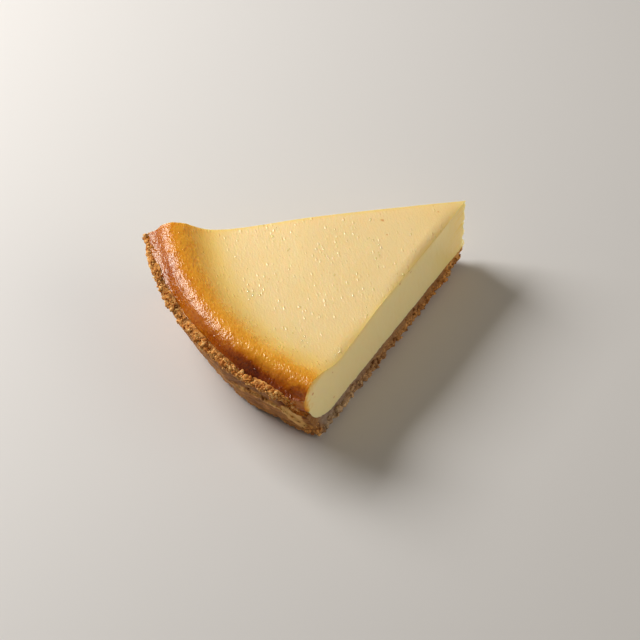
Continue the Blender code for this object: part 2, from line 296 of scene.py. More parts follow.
class Shell:
    """Gathers triangulated patches that share their edges into one closed mesh."""

    def __init__(self, seed):
        self.index, self.points, self.pushes, self.zones, self.faces = {}, [], [], [], []
        self.random = random.Random(seed)

    def vertex(self, point, zone):
        key = tuple(round(v, 4) for v in (point[0], point[1] if point[0] > 1e-6 else 0.0, point[2]))
        if key not in self.index:
            self.index[key] = len(self.points)
            self.points.append(point)
            self.pushes.append(Vector((0, 0, 0)))
            self.zones.append(zone)
        return self.index[key]

    def patch(self, zone, edges, flatten, unflatten=None, spacing=None, stride=None, push=None):
        """Fills the loop of edges; flatten maps a point to a plane and unflatten maps it back."""
        loop = []
        for edge in edges:
            loop += edge[:-1]
        outline = [Vector(flatten(p)) for p in loop]
        extra = self.spread(outline, spacing, stride) if spacing else []
        everything = loop + [unflatten(spot) for spot in extra]
        area = sum(a.x * b.y - b.x * a.y for a, b in zip(outline, outline[1:] + outline[:1]))
        order = list(range(len(loop)))
        if area < 0:
            order.reverse()
        flat = outline + [Vector(spot) for spot in extra]
        result = geometry.delaunay_2d_cdt(flat, [], [order], 1, 1e-6)
        numbers = [self.vertex(everything[source[0]], zone) for source in result[3]]
        for face in result[2]:
            self.faces.append([numbers[i] for i in face])
        if push:
            for number in set(numbers):
                shared = EDGE_SHARE if self.pushes[number].length > 0 else 1.0
                self.pushes[number] = shared * (self.pushes[number] + push(self.points[number]))

    def spread(self, outline, spacing, stride):
        """Spots inside an outline on a slightly uneven triangular grid, clear of the outline."""
        near = kdtree.KDTree(len(outline))
        for i, spot in enumerate(outline):
            near.insert((spot.x, spot.y, 0), i)
        near.balance()
        low = min(spot.y for spot in outline)
        high = max(spot.y for spot in outline)
        left = min(spot.x for spot in outline)
        sides = list(zip(outline, outline[1:] + outline[:1]))
        found, row, y = [], 0, low + spacing * 0.6
        while y < high:
            crossings = sorted(a.x + (y - a.y) * (b.x - a.x) / (b.y - a.y)
                               for a, b in sides if (a.y > y) != (b.y > y))
            for start, end in zip(crossings[::2], crossings[1::2]):
                column = math.ceil((start - left) / spacing)
                x = left + spacing * (column + 0.5 * (row % 2))
                while x < end:
                    step = stride((x, y)) if stride else 1
                    if row % step == 0 and column % step == 0:
                        spot = tuple(v + self.random.uniform(-0.2, 0.2) * spacing for v in (x, y))
                        clear = 0.6 * spacing * step
                        if start < spot[0] < end and near.find((*spot, 0))[2] > clear:
                            found.append(spot)
                    x += spacing
                    column += 1
            y += spacing * 0.87
            row += 1
        return found

    def each(self, value):
        """Works out value(point, zone) for every vertex."""
        return [value(point, zone) for point, zone in zip(self.points, self.zones)]

    def on_cut(self):
        return [float(zone == "cut") for zone in self.zones]

    def build(self, name):
        mesh = bpy.data.meshes.new(name)
        places = [to_world(p) + push * MM for p, push in zip(self.points, self.pushes)]
        mesh.from_pydata(places, [], self.faces)
        mesh.validate()
        face_outwards(mesh)
        return mesh


def face_outwards(mesh):
    """Turns every face of the closed mesh outwards."""
    form = bmesh.new()
    form.from_mesh(mesh)
    bmesh.ops.recalc_face_normals(form, faces=form.faces)
    form.to_mesh(mesh)
    form.free()


def add_piece(name, mesh, material, body="root"):
    piece = bpy.data.objects.new(name, mesh)
    bpy.context.scene.collection.objects.link(piece)
    mesh.materials.append(material)
    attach(piece, body)
    return piece


def push_out(mesh, depths):
    """Moves every vertex along its normal by its depth in millimetres."""
    count = len(mesh.vertices)
    places = np.zeros(count * 3, np.float32)
    normals = np.zeros(count * 3, np.float32)
    mesh.vertices.foreach_get("co", places)
    mesh.vertices.foreach_get("normal", normals)
    moved = places.reshape(-1, 3) + normals.reshape(-1, 3) * (np.array(depths, np.float32)[:, None] * MM)
    mesh.vertices.foreach_set("co", moved.astype(np.float32).ravel())
    mesh.update()


def set_attributes(mesh, **values):
    for name, numbers in values.items():
        attribute = mesh.attributes.new(name, "FLOAT", "POINT")
        attribute.data.foreach_set("value", np.array(numbers, np.float32))


def outward(phi):
    angle = math.radians(phi)
    return Vector((-math.cos(angle), -math.sin(angle), 0))


def sideways(side):
    """Direction that a cut faces: side is 1 at the front cut and -1 at the back cut."""
    angle = math.radians(side * HALF_ANGLE)
    return side * Vector((math.sin(angle), -math.cos(angle), 0))


def crumbs(point, size=CRUMB_SIZE):
    """Rounded crumbs with gaps between them, from 0 to 1."""
    place = from_tip(point)
    coarse = noise.voronoi(place / size)[0][0]
    fine = noise.voronoi(place / (0.5 * size) + Vector((9, 2, 5)))[0][0]
    return 0.7 * max(0.0, 1.0 - 1.25 * coarse) + 0.3 * max(0.0, 1.0 - 1.25 * fine)


def crumb_cut(side):
    def push(point):
        r, _, z = point
        smear = ease(0.55, 0.8, z / BASE_THICKNESS - 0.5 * ease(92, 104, r))
        depth = mix(2.6, 0.7, smear)
        return sideways(side) * (depth * crumbs(point) - 0.35)
    return push


def crumb_tip(point):
    return Vector((1.0, 0, 0)) * (2.2 * crumbs(point) - 0.5)


def wall_relief(point):
    """The wall is pressed smooth by its tin, craggy at the rim and the foot, with one flake missing."""
    r, phi, z = point
    craggy = max(ease(RIM_HEIGHT - 5.5, RIM_HEIGHT - 2.5, z), 0.7 * (1 - ease(1.5, 5.0, z)))
    relief = mix(0.6, 1.7, craggy) * (crumbs(point) - 0.25)
    flake = ease(flake_edge(phi) - 0.6, flake_edge(phi) + 0.6, z) * ease(FLAKE_START, FLAKE_START + 4, phi)
    slot = SLOT_DEPTH * ease(19.0, 20.4, phi) * ease(16.5, 18.0, z) * (1 - break_share(phi))
    hollow = (FLAKE_DEPTH * flake + slot) * (1 - ease(RIM_HEIGHT - 4.5, RIM_HEIGHT - 2.5, z))
    return outward(phi) * (relief - hollow)


def rim_relief(point):
    r, phi, z = point
    inside = r - wall_inner(phi, z)
    height = mix(1.8, 1.0, ease(0.0, 0.1, break_share(phi))) * crumbs(point, 2.2) - 0.4
    return Vector((0, 0, 1)) * ease(overlap(phi) - 0.4, overlap(phi) + 0.5, inside) * height


# Crumb crust

def crust_shell():
    crust = Shell(3)

    def arc(radius, height, spacing):
        return along_arc(lambda phi: (radius(phi, height(phi)), phi, height(phi)), spacing)

    foot = arc(wall_outer, lambda phi: 0.0, MEDIUM)
    rim_outer = arc(wall_outer, rim_height, MEDIUM)
    rim_inner = arc(wall_inner, rim_height, MEDIUM)
    floor_edge = arc(wall_inner, lambda phi: BASE_THICKNESS, COARSE)
    tip_low = arc(lambda phi, z: crust_tip(z), lambda phi: 0.0, MEDIUM)
    tip_high = arc(lambda phi, z: crust_tip(z), lambda phi: BASE_THICKNESS, MEDIUM)
    sides = {}
    for side in (-1, 1):
        phi = side * HALF_ANGLE
        top = rim_height(phi)

        def line(place, low, high):
            return even_line(place, low, high, MEDIUM)

        sides[side] = {
            "bottom": line(lambda r: (r, phi, 0.0), TIP_FOOT, wall_outer(phi, 0.0)),
            "outer": line(lambda z: (wall_outer(phi, z), phi, z), 0.0, top),
            "rim": line(lambda r: (r, phi, top), wall_outer(phi, top), wall_inner(phi, top)),
            "inner": line(lambda z: (wall_inner(phi, z), phi, z), top, BASE_THICKNESS),
            "floor": line(lambda r: (r, phi, BASE_THICKNESS), wall_inner(phi, BASE_THICKNESS), TIP_LIP),
            "tip": line(lambda z: (crust_tip(z), phi, z), BASE_THICKNESS, 0.0),
        }
        crust.patch("cut", list(sides[side].values()), cut_plane, lambda s: (s[0], phi, s[1]), MEDIUM,
                    push=crumb_cut(side))
    back, front = sides[-1], sides[1]
    crust.patch("wall", [foot, front["outer"], turned(rim_outer), turned(back["outer"])],
                unroll, roll_onto(wall_outer), MEDIUM, push=wall_relief)

    def rim_flatten(p):
        return (math.radians(p[1]) * UNROLL_RADIUS, p[0] - wall_inner(p[1], p[2]))

    def rim_unflatten(spot):
        phi = math.degrees(spot[0] / UNROLL_RADIUS)
        z = rim_height(phi)
        return (wall_inner(phi, z) + spot[1], phi, z)

    crust.patch("rim", [rim_outer, front["rim"], turned(rim_inner), turned(back["rim"])],
                rim_flatten, rim_unflatten, MEDIUM, push=rim_relief)

    def inner_stride(spot):
        phi, z = math.degrees(spot[0] / UNROLL_RADIUS), spot[1]
        return 1 if rim_height(phi) - z < 2.0 else 4

    crust.patch("inside", [rim_inner, front["inner"], turned(floor_edge), turned(back["inner"])],
                unroll, roll_onto(wall_inner), MEDIUM, stride=inner_stride)
    crust.patch("inside", [floor_edge, front["floor"], turned(tip_high), turned(back["floor"])], plan,
                lambda s: (*polar_plan(s), BASE_THICKNESS), COARSE)
    crust.patch("tip", [tip_low, turned(front["tip"]), turned(tip_high), back["tip"]],
                lambda p: (p[1], p[2]), push=crumb_tip)
    crust.patch("under", [foot, turned(front["bottom"]), turned(tip_low), back["bottom"]], plan,
                lambda s: (*polar_plan(s), 0.0), COARSE)
    return crust


def grit(place, size=GRIT_SIZE):
    """Fine grains, from 0 to 1."""
    return max(0.0, 1.0 - 1.3 * noise.voronoi(place / size + Vector((3, 8, 1)))[0][0])


def slot_shade_share(phi, z):
    """Is 1 in the slot under the wall's upper edge, beside the broken corner, whose crumb is painted dark as
    shade.
    """
    return ease(16.6, 17.6, z) * ease(18.8, 19.6, phi)


def crust_looks(point, zone):
    """Fine relief in millimetres, roughness of the crumb, toastedness, and painted shade in the gaps between
    crumbs, of a point of the crust; the toastedness also holds painted shade in the flake's hollow and the
    slot, and painted bounce light at the tip.
    """
    r, phi, z = point
    place = from_tip(point)
    broken = break_share(phi)
    top = rim_height(phi)
    coarse = crumbs(point)
    streaks = noise.fractal(Vector((place.x / 5, place.y / 5, z / 0.9)), 1.0, 2.0, 3)
    if zone in ("under", "inside"):
        ridge = ease(2.5, 0.5, top - z) if zone == "inside" else 0.0
        return 0.12 * grit(place, 1.1) * ridge, 0.5, 0.45, 0.35 * ridge
    if zone == "wall":
        hollow = ease(0.0, 1.0, z - flake_edge(phi)) * ease(FLAKE_START - 1, FLAKE_START + 2, phi)
        wedge = ease(-0.4, 0.4, z - WEDGE_EDGE(phi) + 1.4 * noise.noise(place / 1.5)) * ease(19.0, 19.6, phi)
        wedge *= ease(23.9, 23.1, phi + 0.3 * noise.noise(place / 1.5))
        ridge = ease(3.4, 1.2, top - z) * (1 - broken)
        foot = 1 - ease(1.0, 4.5, z + noise.noise(place / 6))
        ledge = bell(0.0, 1.3, z - flake_edge(phi) + 1.5 * noise.noise(place / 3)) * ease(6, 10, phi)
        crumbly = max(ridge, foot * (1 - wedge), 0.8 * ledge * (1 - broken), 0.4 * wedge)
        relief = mix(0.1, 0.55, crumbly) * (grit(place) - 0.4) + 0.22 * (1 - crumbly) * streaks
        # In the flake's hollow the tone is 0.35 lower: painted shade in the recess.
        tone = mix(0.45 + 0.55 * streaks - 0.35 * hollow, 0.6, crumbly) + 0.3 * ledge
        # In the slot the tone falls to -0.4: painted shade.
        tone = mix(mix(tone, 1.15, wedge), -0.4, slot_shade_share(phi, z) * (1 - ridge))
        coarse = max(coarse, wedge * 0.35)
    elif zone in ("rim", "tip"):
        crumbly = 1.0
        relief = 0.5 * (grit(place) - 0.4)
        # The tip is given a lighter tone than the rim: painted bounce light.
        tone = 0.65 if zone == "rim" else 0.95
    else:
        level = z / BASE_THICKNESS - 0.5 * ease(92, 104, r)
        smear = ease(0.5, 0.72, level + 0.15 * noise.noise(place / 4))
        crumbly = 1 - smear
        relief = mix(0.06, 0.55, crumbly) * (grit(place) - 0.4)
        # Lighter towards the tip: painted bounce light.
        tone = mix(0.2, 0.5, crumbly) + 0.5 * ease(16, 9, r)
    # How far the crumb is darkened in the gaps between crumbs: painted shade
    gap = ease(0.45, 0.1, coarse) * mix(0.5, 1.0, crumbly) * (0.4 if zone == "tip" else 1.0)
    return relief, crumbly, tone, gap


def toast_and_painted_light_share(point, zone):
    """Is 1 on the wall's browned upper edge, and also on its slot as painted shade and on the crust's tip,
    and the cuts near it, as painted bounce light.
    """
    r, phi, z = point
    if zone in ("rim", "tip"):
        return 1.0
    if zone == "wall":
        return max(ease(4.5, 2.0, rim_height(phi) - z), slot_shade_share(phi, z))
    return ease(14, 9, r)


def pale_share(r, phi):
    """The crumb is warm at the wall and at the tip, and greyer along the cuts near the wall."""
    return min(1.0, max(0.0, (r - 20) / 72)) * ease(2.0, 0.8, from_cut(r, phi)) * ease(101, 95, r)


def make_crust(material):
    shell = crust_shell()
    mesh = shell.build("crust")
    relief, crumbly, tone, gap = zip(*shell.each(crust_looks))
    push_out(mesh, [0.0 if p[2] < 1e-6 else depth for p, depth in zip(shell.points, relief)])
    # toasted also carries the slot's painted shade and the tip's painted bounce light.
    set_attributes(mesh, crumbly=crumbly, toasted=shell.each(toast_and_painted_light_share), cut_side=shell.on_cut(),
                   pale=[pale_share(r, phi) for r, phi, _ in shell.points], tone=tone, gap=gap)
    mesh.shade_smooth()
    piece = add_piece("crust", mesh, material)
    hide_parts("crumb_crust")
    return piece


# Custard filling

# Pits of the top: number, smallest and largest half width, depth, and how far off one is still felt
PITS, PIT_SMALL, PIT_LARGE, PIT_DEPTH, PIT_REACH = 50, 0.3, 0.55, 0.08, 1.6
# How deep the browning reaches, and how many times deeper it does under the crest and behind the side;
# behind the side it also carries the painted shade of the bared custard
BAKE_DEPTH = 0.9
CREST_REACH, SIDE_REACH = 3.2, 2.0
INNER_BAKE = curve_through([
    (79, 0.0), (84, 0.04), (88, 0.13), (91, 0.23), (94, 0.34), (97, 0.46), (99.5, 0.54), (106, 0.58)])
# By angle: how much further out the gold starts, and where the dark of the outer slope starts and ends
GOLD_SHIFT = curve_through([(-22, 0.0), (-15, 0.6), (-8, 1.6), (-2, 2.6), (5, 3.0), (25, 2.6)])
DARK_START = curve_through([
    (-25, 101.5), (-2, 102.5), (4, 103.6), (9, 104.0), (14, 103.4), (18, 102.7), (25, 102.2)])
DARK_END = curve_through([(-25, 109.5), (-2, 109), (4, 110), (9, 109), (14, 108), (18, 108), (25, 107.3)])
DARKEST = curve_through([
    (-25, 0.84), (-15, 0.86), (-8, 0.84), (-2, 0.83), (4, 0.87), (9, 0.94), (14, 0.98), (18, 0.98),
    (22, 0.93), (25, 0.88)])
# Specks of the top (distance from the tip, angle) and of the front cut (distance, height), with half width
TOP_SPECKS = (
    (31.1, -14.7, 0.8), (32.6, -2.4, 0.4), (11.2, -2.8, 0.4), (60.5, 8.0, 0.35), (47.0, -12.0, 0.3))
CUT_SPECKS = (
    (101.7, 25.1, 0.7), (105.4, 22.8, 0.6), (104.8, 18.0, 0.8), (88.2, 10.2, 0.6), (78.0, 5.9, 0.7),
    (89.1, 23.9, 0.4), (100.6, 22.6, 0.4), (37.8, 26.4, 0.6), (45.4, 27.2, 0.6))


def top_bake(r, phi):
    """How far the top is browned, from 0, cream, to 1, dark brown, with a little painted glow along the
    front cut.
    """
    place = from_tip((r, phi, 0))
    wander = 0.8 * noise.noise(place / 7.0) + 0.7 * noise.noise(place / 2.6)
    # A little more golden along the front cut, away from the tip: painted glow.
    painted_edge_glow = 0.05 * ease(15, 24, phi) * ease(40, 80, r)
    gold = INNER_BAKE(r - GOLD_SHIFT(phi) + wander) + painted_edge_glow
    return mix(gold, DARKEST(phi), ease(DARK_START(phi), DARK_END(phi), r + wander))


def side_bake(phi, z):
    """Browning of the filling's side; the bared custard under the brown lip is browned and painted dark as
    shade in its hollow, darkest low down.
    """
    # The bared custard's darkness is partly browning, partly painted shade in the hollow under the lip.
    bare = 0.95 - 0.2 * ease(19.5, 26, z + noise.noise(Vector((phi, z, 0))))
    return mix(0.6 * ease(23, 26, z), bare, bare_share(phi, z))


def custard_bake(point):
    r, phi, z = point
    depth = max(0.0, top_height(r, phi) - z)
    uneven = 1.0 + 0.8 * noise.noise(Vector((r / 1.3, z / 1.3, phi)))
    reach = mix(1.0, CREST_REACH, ease(92, 102, r)) * BAKE_DEPTH * uneven
    inward = max(0.0, filling_side(phi, z) - r)
    from_top = top_bake(r, phi) * math.exp(-depth / reach)
    from_side = side_bake(phi, z) * math.exp(-inward / (SIDE_REACH * BAKE_DEPTH * uneven))
    return from_top if depth < 0.01 else max(from_top, from_side)


def speck_share(point, zone):
    r, phi, z = point
    if zone == "top":
        spots = [(from_tip((a, b, 0)), width) for a, b, width in TOP_SPECKS]
        place = from_tip((r, phi, 0))
    elif zone == "cut" and phi > 0:
        spots = [(Vector((a, b, 0)), width) for a, b, width in CUT_SPECKS]
        place = Vector((r, z, 0))
    else:
        return 0.0
    place = place + 0.5 * noise.noise_vector(place)
    return max(bell(0.0, width, (place - spot).length) for spot, width in spots)


def skin_share(point, zone):
    """The thin, yellower skin under the top, seen along the cuts and at the slice's ripe tip."""
    r, phi, z = point
    if zone == "top":
        return max(ease(2.0, 0.0, from_cut(r, phi)) * ease(95, 88, r), 0.5 * ease(30, 4, r))
    if zone != "cut":
        return 0.0
    return max(math.exp(-max(0.0, top_height(r, phi) - z - 0.3) / 1.0), ease(30, 4, r))


def map_pits():
    """Gives a function for how deep a place is in its nearest pits, as a share of the full depth."""
    draw = random.Random(21)
    tree, widths = kdtree.KDTree(PITS), []
    for i in range(PITS):
        r = 100 * math.sqrt(draw.random())
        phi = draw.uniform(-HALF_ANGLE, HALF_ANGLE)
        widths.append(mix(PIT_SMALL, PIT_LARGE, draw.random() ** 2))
        tree.insert(from_tip((r, phi, 0)), i)
    tree.balance()

    def depth(place):
        near = tree.find_range((place.x, place.y, 0), PIT_REACH)
        return max((bell(0.0, widths[i], distance) for _, i, distance in near), default=0.0)

    return depth


def glint_share(point, _):
    """Where the top's glints gather: in patches, away from the tip."""
    return ease(25, 70, point[0]) * ease(-0.25, 0.2, noise.noise(from_tip(point) / 13.0))


def edge_point(phi):
    r, z = top_edge(phi)
    return (r, phi, z)


def custard_shell():
    filling = Shell(5)
    low = BASE_THICKNESS + GAP
    rim = along_arc(edge_point, FINE)
    foot = along_arc(lambda phi: (filling_side(phi, low), phi, low), COARSE)
    tip = even_line(lambda z: (tip_edge(z), 0.0, z), low, top_height(0.0, 0.0), FINE)
    sides = {}
    for side in (-1, 1):
        phi = side * HALF_ANGLE

        def top_line(r):
            return (r, phi, top_height(r, phi))

        def side_line(z):
            return (filling_side(phi, z), phi, z)

        edge_r, edge_z = top_edge(phi)
        top = [tip[-1]] + even_line(top_line, 0.5, edge_r, FINE)[:-1] + [edge_point(phi)]
        outer = [edge_point(phi)] + even_line(side_line, edge_z, low, MEDIUM)[1:]
        bottom = even_line(lambda r: (r, phi, low), filling_side(phi, low), 0.5, MEDIUM) + [tip[0]]
        sides[side] = {"top": top, "outer": outer, "bottom": bottom}
    back, front = sides[-1], sides[1]

    def top_place(spot):
        r, phi = polar_plan(spot)
        return (r, phi, top_height(r, phi))

    def side_stride(spot):
        return 1 if spot[0] > math.radians(BREAK_START - 1) * UNROLL_RADIUS else 4

    filling.patch("top", [front["top"], turned(rim), turned(back["top"])], plan, top_place, FINE)
    for side in (-1, 1):
        phi = side * HALF_ANGLE
        filling.patch("cut", [*sides[side].values(), tip], cut_plane, lambda s: (s[0], phi, s[1]), MEDIUM)
    filling.patch("side", [foot, turned(front["outer"]), turned(rim), back["outer"]],
                  unroll, roll_onto(filling_side), MEDIUM, stride=side_stride)
    filling.patch("under", [foot, front["bottom"], turned(back["bottom"])], plan,
                  lambda s: (*polar_plan(s), low), COARSE)
    return filling


def custard_looks(point, zone, pit_depth):
    """Relief in millimetres, browning with painted shade and glow, pit depth and wrinkledness of a point of
    the filling.
    """
    r, phi, z = point
    place = from_tip(point)
    bake = custard_bake(point)
    if zone == "top":
        pit = pit_depth(place) * (1 - ease(80, 88, r))
        crest = ease(92, 100, r)
        cells = noise.voronoi(place / 1.25)[0]
        wrinkle = min(1.0, cells[1] - cells[0])
        soft = noise.fractal(place / 3.5, 1.0, 2.0, 3)
        relief = -PIT_DEPTH * pit + crest * (0.14 * wrinkle + 0.12 * soft) + 0.02 * soft
        return relief, bake, pit, crest
    if zone == "cut":
        drag = noise.fractal(Vector(((place.x + 0.35 * z) / 0.9, place.y / 0.9, z / 6.0)), 1.0, 2.0, 3)
        broad = noise.noise(place / 6.0)
        scallop = ease(9, 2, r) * 0.5 * noise.noise(Vector((0, 0, z / 1.3)))
        return 0.1 * drag + 0.15 * broad + scallop, bake, 0.0, 0.0
    if zone == "side":
        rough = noise.fractal(place / 1.6, 1.0, 2.0, 4)
        return 0.45 * rough * bare_share(phi, z), bake, 0.0, 0.3 * bare_share(phi, z)
    return 0.0, bake, 0.0, 0.0


def make_custard(material):
    shell = custard_shell()
    mesh = shell.build("custard")
    pit_depth = map_pits()
    relief, bake, pit, crest = zip(*shell.each(lambda p, zone: custard_looks(p, zone, pit_depth)))
    push_out(mesh, relief)
    set_attributes(mesh, speck=shell.each(speck_share), skin=shell.each(skin_share),
                   outer=shell.each(glint_share), bake=bake, pit=pit, crest=crest, cut_face=shell.on_cut())
    mesh.shade_smooth()
    mesh.set_sharp_from_angle(angle=math.radians(50))
    piece = add_piece("custard", mesh, material)
    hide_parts("custard_filling")
    return piece


# Loose and half-sunk crumbs

def rock(draw, detail):
    """An uneven grain about 1 across: its corners and faces."""
    form = bmesh.new()
    bmesh.ops.create_icosphere(form, subdivisions=detail, radius=0.5)
    offset = Vector([draw.uniform(-50, 50) for _ in range(3)])
    stretch = Vector([draw.uniform(0.45, 1.3) for _ in range(3)])
    for vert in form.verts:
        bumpy = 1.0 + 0.6 * noise.noise(vert.co * 3 + offset) + 0.35 * noise.noise(vert.co * 7 + offset)
        vert.co = Vector([c * s for c, s in zip(vert.co * bumpy, stretch)])
    corners = np.array([vert.co for vert in form.verts])
    faces = np.array([[vert.index for vert in face.verts] for face in form.faces])
    form.free()
    return corners, faces


def random_turn(draw):
    values = Quaternion([draw.gauss(0, 1) for _ in range(4)])
    return np.array(values.normalized().to_matrix())


class Crumbs:
    """Gathers grains into one mesh, each with its own turn, size and toastedness."""

    def __init__(self, seed, detail):
        self.draw = random.Random(seed)
        self.forms = [rock(self.draw, detail) for _ in range(8)]
        self.corners, self.faces, self.count = [], [], 0
        self.tones, self.toasted, self.pale = [], [], []

    def add(self, place, size, tone, toasted=0.0):
        """Adds a grain at a place in metres, size in millimetres."""
        corners, faces = self.draw.choice(self.forms)
        spots = corners @ random_turn(self.draw).T * (size * MM) + np.array(place)
        spots[:, 2] += max(0.0, -spots[:, 2].min())
        self.corners.append(spots)
        self.faces.append(faces + self.count)
        self.tones += [tone] * len(corners)
        self.toasted += [toasted] * len(corners)
        self.pale += [pale_share(*to_polar(place)[:2])] * len(corners)
        self.count += len(corners)

    def scatter(self, surface, number, density, size, tone, toasted=0.0):
        """Spreads grains over a mesh's faces by density(r, phi, z), most of them small."""
        mesh = surface.data
        count = len(mesh.polygons)
        areas, centres, normals = np.zeros(count), np.zeros(count * 3), np.zeros(count * 3)
        mesh.polygons.foreach_get("area", areas)
        mesh.polygons.foreach_get("center", centres)
        mesh.polygons.foreach_get("normal", normals)
        centres, normals = centres.reshape(-1, 3), normals.reshape(-1, 3)
        weights = [area * density(*to_polar(c)) for area, c in zip(areas, centres)]
        for i in self.draw.choices(range(count), weights, k=number):
            share = self.draw.random() ** 2.2
            grain = mix(*size, share)
            jitter = np.array([self.draw.uniform(-0.3, 0.3) * MM for _ in range(3)])
            place = centres[i] + jitter + normals[i] * grain * MM * self.draw.uniform(-0.4, 0.05)
            if place[2] > 0.3 * grain * MM:
                self.add(place, grain, tone + self.draw.uniform(-0.3, 0.3), toasted)

    def build(self, name, material):
        mesh = bpy.data.meshes.new(name)
        faces = np.concatenate(self.faces)
        mesh.from_pydata(np.concatenate(self.corners), [], faces.tolist())
        set_attributes(mesh, tone=self.tones, toasted=self.toasted, pale=self.pale)
        mesh.shade_smooth()
        piece = add_piece(name, mesh, material)
        return piece


def from_cut(r, phi):
    """Millimetres to the nearest cut."""
    return r * math.sin(math.radians(max(0.0, HALF_ANGLE - abs(phi))))


def ridge_density(r, phi, z):
    """Crumbs on the wall's upper edge, thickest on its outer side."""
    top = rim_height(phi)
    outer = ease(overlap(phi) - 0.6, overlap(phi) + 0.2, r - wall_inner(phi, min(z, top)))
    outer *= 0.3 + ease(-0.15, 0.3, noise.noise(from_tip((r, phi, z)) / 4.5))
    return ease(2.6, 0.6, top - z) * outer * (1 - break_share(phi))


def rough_density(r, phi, z):
    """Crumbs on the cuts of the base, at the foot, on the broken corner and along the flake's edge."""
    in_cut = ease(1.2, 0.2, from_cut(r, phi)) * ease(4.4, 3.0, z)
    corner = ease(22, 24, phi) * ease(96, 98, r) * ease(7, 5, z)
    ledge = bell(0.0, 0.8, z - flake_edge(phi)) * ease(6, 8, phi) * ease(101, 103, r)
    tip = 0.4 * ease(11, 8, r)
    return max(in_cut, corner, 0.4 * ledge, tip)


def foot_density(r, phi, z):
    return ease(98, 99, r) * ease(2.6, 0.8, z)


def strip_place(share):
    """The crumbs still stuck to the custard's lip beyond the broken wall, from its end to the front cut."""
    phi = mix(21.2, HALF_ANGLE - 0.1, share)
    z = mix(27.2, 19.9, ease(0.0, 1.1, share) ** 0.8)
    return (filling_side(phi, z) + 0.3, phi, z)


# Moist beads on the filling: distance from the tip, angle, length and width in millimetres
BEADS = (
    (41.9, 23.7, 1.1, 0.9), (82.3, 23.9, 0.9, 0.8), (86.6, 15.1, 0.9, 0.6), (80.2, 17.5, 0.7, 0.5),
    (39.0, -5.0, 0.8, 0.6), (38.2, -2.7, 0.8, 0.6), (37.8, 2.0, 0.9, 0.6), (22.2, 23.4, 0.9, 0.6),
    (20.4, 23.2, 0.8, 0.6), (62.0, 21.5, 0.7, 0.5))
BEAD_COUNT = 40
BEAD_TURN = math.radians(56)
BEAD_HEIGHT = 0.17


def make_beads(material):
    draw = random.Random(41)
    beads = list(BEADS)
    while len(beads) < len(BEADS) + BEAD_COUNT:
        r, phi = 104 * math.sqrt(draw.uniform(0.05, 1)), draw.uniform(-HALF_ANGLE + 1, HALF_ANGLE - 1)
        crowd = noise.noise(from_tip((r, phi, 0)) / 14.0)
        if r < 92 and draw.random() < 0.35 + 0.9 * crowd:
            length = mix(0.6, 1.5, draw.random() ** 2)
            beads.append((r, phi, length, length * draw.uniform(0.45, 0.65)))
    form = bmesh.new()
    for r, phi, length, width in beads:
        height = BEAD_HEIGHT * width
        place = Matrix.Translation(to_world((r, phi, top_height(r, phi) - 0.5 * height)))
        turn = Matrix.Rotation(BEAD_TURN + draw.gauss(0, 0.15), 4, "Z")
        shape = Matrix.Diagonal((length * MM, width * MM, 3 * height * MM, 1))
        bmesh.ops.create_uvsphere(
            form, u_segments=16, v_segments=10, radius=0.5, matrix=place @ turn @ shape)
    mesh = bpy.data.meshes.new("moist_beads")
    form.to_mesh(mesh)
    form.free()
    mesh.shade_smooth()
    piece = add_piece("moist_beads", mesh, material)


def bead_material():
    mat = Finish("moist_beads")
    return mat.finish({
        "Base Color": lit(238, 206, 138), "Roughness": 0.15, "Specular IOR Level": 1.0,
        "Subsurface Weight": 0.5, "Subsurface Radius": (1.0, 0.7, 0.4), "Subsurface Scale": 0.001})


# Lumps at the foot of the front cut: distance from the tip, height and size in millimetres
CUT_LUMPS = ((68.5, 1.0, 2.2), (85.5, 1.3, 2.8), (94.1, 2.8, 2.6), (76.0, 1.6, 1.8), (47.5, 1.4, 2.0))
STRIP_CRUMBS = 30


def make_crumbs(crust, material):
    coarse = Crumbs(31, 2)
    coarse.scatter(crust, 420, ridge_density, (0.7, 2.0), 0.65, 1.0)
    coarse.scatter(crust, 800, rough_density, (0.7, 2.3), 0.53)
    for r, z, size in CUT_LUMPS:
        coarse.add(to_world((r, HALF_ANGLE + math.degrees(0.6 / r), z)), size, 0.5)
    for _ in range(STRIP_CRUMBS):
        r, phi, z = strip_place(coarse.draw.random())
        spot = to_world((r, phi, z + coarse.draw.uniform(-0.5, 0.5)))
        coarse.add(spot, coarse.draw.uniform(0.5, 1.2), coarse.draw.uniform(0.4, 0.9), 1.0)
    coarse.build("crust_crumbs", material)
    fine = Crumbs(32, 1)
    fine.scatter(crust, 1800, ridge_density, (0.35, 0.9), 0.65, 1.0)
    fine.scatter(crust, 2600, rough_density, (0.35, 0.9), 0.56)
    fine.scatter(crust, 900, foot_density, (0.3, 0.8), 0.5)
    fine.build("fine_crumbs", material)


# Materials

def linear(red, green, blue, scale=1.0):
    """A colour given as it looks on a screen, from 0 to 255, as light."""
    values = [v / 255 for v in (red, green, blue)]
    light = [v / 12.92 if v <= 0.04045 else ((v + 0.055) / 1.055) ** 2.4 for v in values]
    return tuple(min(1.0, v * scale) for v in light) + (1.0,)


